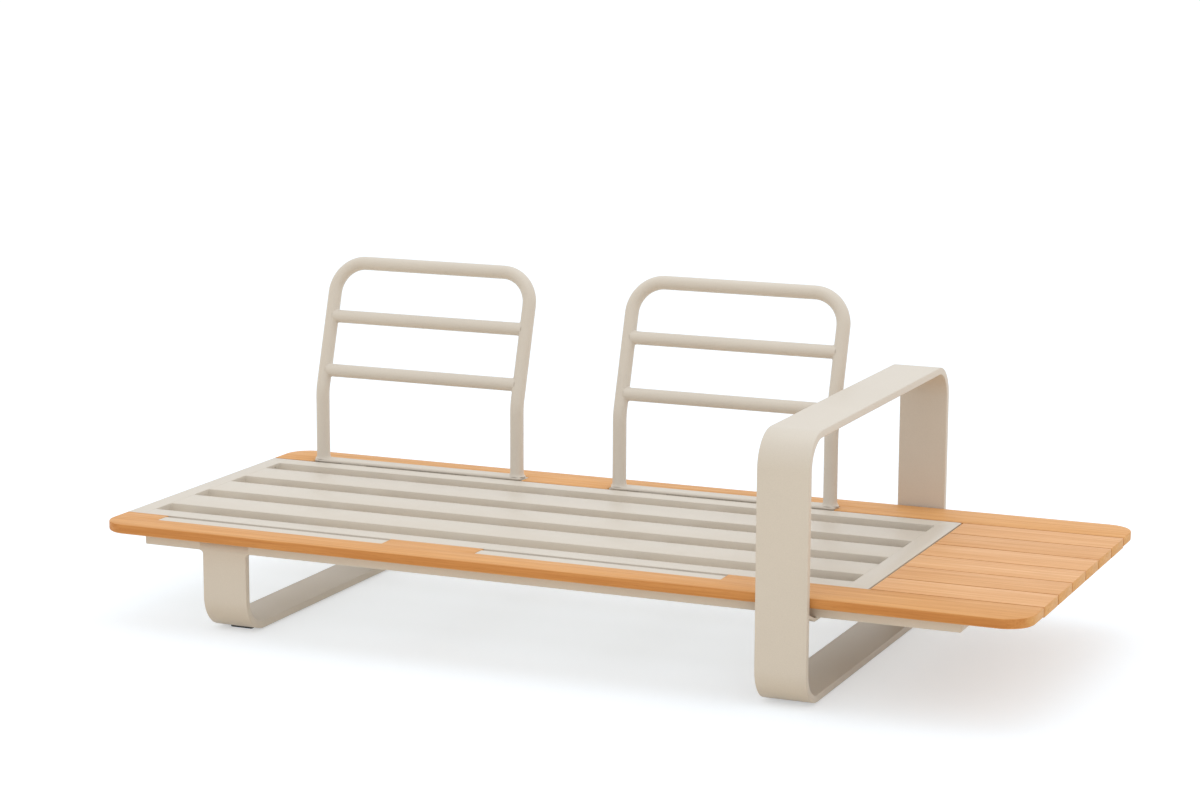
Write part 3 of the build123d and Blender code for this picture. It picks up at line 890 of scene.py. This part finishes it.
def backrest(side):
    """A backrest: a hoop on a foot bar, with two rungs welded between its posts."""
    body = f"backrest_{side}"
    bar_low, bar_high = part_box(f"{body}_foot_bar")
    centre = (bar_low.x + bar_high.x) / 2
    line = (bar_low.y + bar_high.y) / 2
    spacing = bar_high.x - bar_low.x - 2 * POST_RADIUS
    top = BEND_HEIGHT + LEAN_RISE
    hoop = hoop_tube(f"{body}_tube", centre, spacing, line, bar_high.z, top)
    hand_over(hoop, body, "powder_coat", f"{body}_hoop")
    for level, share in RUNG_SHARES.items():
        rise = share * LEAN_RISE
        place = Vector((centre, line + rise * tan(LEAN), BEND_HEIGHT + rise))
        tube = rod("rung", place, RUNG_RADIUS, spacing - POST_RADIUS, (0, pi / 2, 0))
        shade(tube, TUBE_SMOOTH_ANGLE)
        beads = [weld_bead(place - X_AXIS * inward * spacing / 2, inward) for inward in (1, -1)]
        rung = join(f"{body}_{level}_rail", [tube, *beads])
        hand_over(rung, body, "powder_coat", f"{body}_{level}_rung")
    bar = block(f"{body}_bar", bar_low, bar_high)
    bevel_edges(bar, BAR_END_RADIUS, BAR_END_STEPS, lambda edge: is_along(bar, edge, Z))
    bevel_edges(bar, BAR_EDGE, BAR_EDGE_STEPS, lambda edge: lies_at(bar, edge, Z, bar_high.z))
    round_edges(bar, BAR_LOWER_EDGE, FINE_STEPS)
    hand_over(bar, body, "powder_coat", f"{body}_foot_bar")


backrest("left")
backrest("right")


# Camera
IMAGE_WIDTH = 1200
IMAGE_HEIGHT = 798
FOCAL_PIXELS = 2960.9
VIEW_CENTRE = (606.1, 412.4)
CAMERA_PLACE = (2.4657, -5.8303, 1.6696)
CAMERA_YAW = 23.166
CAMERA_PITCH = -10.643
CAMERA_ROLL = 0.271
SENSOR_WIDTH = 36


def make_camera():
    """The photograph's camera: turned to the left, looking slightly down."""
    yaw, pitch, roll = (radians(angle) for angle in (CAMERA_YAW, CAMERA_PITCH, CAMERA_ROLL))
    ahead = Vector((-sin(yaw) * cos(pitch), cos(yaw) * cos(pitch), sin(pitch)))
    level_right = Vector((cos(yaw), sin(yaw), 0))
    level_up = level_right.cross(ahead)
    right = level_right * cos(roll) + level_up * sin(roll)
    up = level_up * cos(roll) - level_right * sin(roll)
    turned = Matrix((right, up, -ahead)).transposed().to_4x4()
    lens = bpy.data.cameras.new("photo_camera")
    lens.sensor_width = SENSOR_WIDTH
    lens.lens = FOCAL_PIXELS / IMAGE_WIDTH * SENSOR_WIDTH
    lens.shift_x = (IMAGE_WIDTH / 2 - VIEW_CENTRE[0]) / IMAGE_WIDTH
    lens.shift_y = (VIEW_CENTRE[1] - IMAGE_HEIGHT / 2) / IMAGE_WIDTH
    lens.clip_end = 100
    camera = bpy.data.objects.new("photo_camera", lens)
    bpy.context.scene.collection.objects.link(camera)
    camera.matrix_world = Matrix.Translation(CAMERA_PLACE) @ turned
    bpy.context.scene.camera = camera


# Studio
FLOOR_SIZE = 60
FLOOR_BOUNCE = (0.87, 0.79, 0.66)
FLOOR_SHADE = (0.58, 0.65, 0.74)
FLOOR_GLOW = 0.47
HORIZON_LIGHT = (0.93, 0.87, 0.81)
ZENITH_LIGHT = (1.0, 0.99, 0.935)
SKY_BLEND = (0.2, 0.8)
OVERHEAD_PLACE = (0.3, 0.4, 4.6)
OVERHEAD_TARGET = (0.1, 0, 0)
OVERHEAD_SIZE = 3.4
OVERHEAD_POWER = 30


def seen_directly(tree):
    """1 for rays that show the background, to the camera, in a reflection or through glass."""
    path = tree.nodes.new("ShaderNodeLightPath")
    shown = path.outputs["Is Camera Ray"]
    for ray in ("Is Glossy Ray", "Is Transmission Ray"):
        either = tree.nodes.new("ShaderNodeMath")
        either.operation = "MAXIMUM"
        tree.links.new(shown, either.inputs[0])
        tree.links.new(path.outputs[ray], either.inputs[1])
        shown = either.outputs[0]
    return shown


def show_by_ray(tree, lit, shown, output):
    """Use one shader for the light on the object, and another where the background is seen."""
    chosen = tree.nodes.new("ShaderNodeMixShader")
    tree.links.new(seen_directly(tree), chosen.inputs[0])
    tree.links.new(lit.outputs[0], chosen.inputs[1])
    tree.links.new(shown.outputs[0], chosen.inputs[2])
    tree.links.new(chosen.outputs[0], tree.nodes[output].inputs["Surface"])


def studio_floor():
    """A white floor that keeps a pale shadow."""
    deselect()
    bpy.ops.mesh.primitive_plane_add(size=FLOOR_SIZE)
    floor = bpy.context.object
    floor.name = "floor"
    paper = bpy.data.materials.new("floor")
    paper.use_nodes = True
    tree = paper.node_tree
    tree.nodes.remove(tree.nodes["Principled BSDF"])
    shaded = tree.nodes.new("ShaderNodeBsdfDiffuse")
    shaded.inputs["Color"].default_value = (*FLOOR_SHADE, 1)
    bounce = tree.nodes.new("ShaderNodeBsdfDiffuse")
    bounce.inputs["Color"].default_value = (*FLOOR_BOUNCE, 1)
    glow = tree.nodes.new("ShaderNodeEmission")
    glow.inputs["Strength"].default_value = FLOOR_GLOW
    lifted = tree.nodes.new("ShaderNodeAddShader")
    tree.links.new(glow.outputs[0], lifted.inputs[0])
    tree.links.new(shaded.outputs[0], lifted.inputs[1])
    show_by_ray(tree, bounce, lifted, "Material Output")
    floor.data.materials.append(paper)


def studio_world():
    """Even light that changes from the horizon up, and plain white where the backdrop is seen."""
    world = bpy.data.worlds.new("studio")
    world.use_nodes = True
    bpy.context.scene.world = world
    tree = world.node_tree
    split = tree.nodes.new("ShaderNodeSeparateXYZ")
    tree.links.new(tree.nodes.new("ShaderNodeTexCoord").outputs["Generated"], split.inputs[0])
    height = tree.nodes.new("ShaderNodeMapRange")
    height.interpolation_type = "SMOOTHSTEP"
    height.inputs["From Min"].default_value = SKY_BLEND[0]
    height.inputs["From Max"].default_value = SKY_BLEND[1]
    tree.links.new(split.outputs["Z"], height.inputs["Value"])
    sky = tree.nodes.new("ShaderNodeMix")
    sky.data_type = "RGBA"
    tree.links.new(height.outputs["Result"], sky.inputs["Factor"])
    low, high = (socket for socket in sky.inputs if socket.name in "AB" and socket.type == "RGBA")
    low.default_value = (*HORIZON_LIGHT, 1)
    high.default_value = (*ZENITH_LIGHT, 1)
    around = tree.nodes["Background"]
    blended = next(socket for socket in sky.outputs if socket.type == "RGBA")
    tree.links.new(blended, around.inputs["Color"])
    backdrop = tree.nodes.new("ShaderNodeBackground")
    backdrop.inputs["Color"].default_value = (1, 1, 1, 1)
    show_by_ray(tree, around, backdrop, "World Output")


def overhead_light():
    """A square softbox above the module."""
    lamp = bpy.data.lights.new("overhead", "AREA")
    lamp.shape = "SQUARE"
    lamp.size = OVERHEAD_SIZE
    lamp.energy = OVERHEAD_POWER
    softbox = bpy.data.objects.new("overhead", lamp)
    bpy.context.scene.collection.objects.link(softbox)
    downward = Vector(OVERHEAD_TARGET) - Vector(OVERHEAD_PLACE)
    softbox.location = OVERHEAD_PLACE
    softbox.rotation_euler = downward.to_track_quat("-Z", "Y").to_euler()


studio_floor()
studio_world()
overhead_light()
make_camera()
bpy.context.scene.view_settings.view_transform = "Standard"
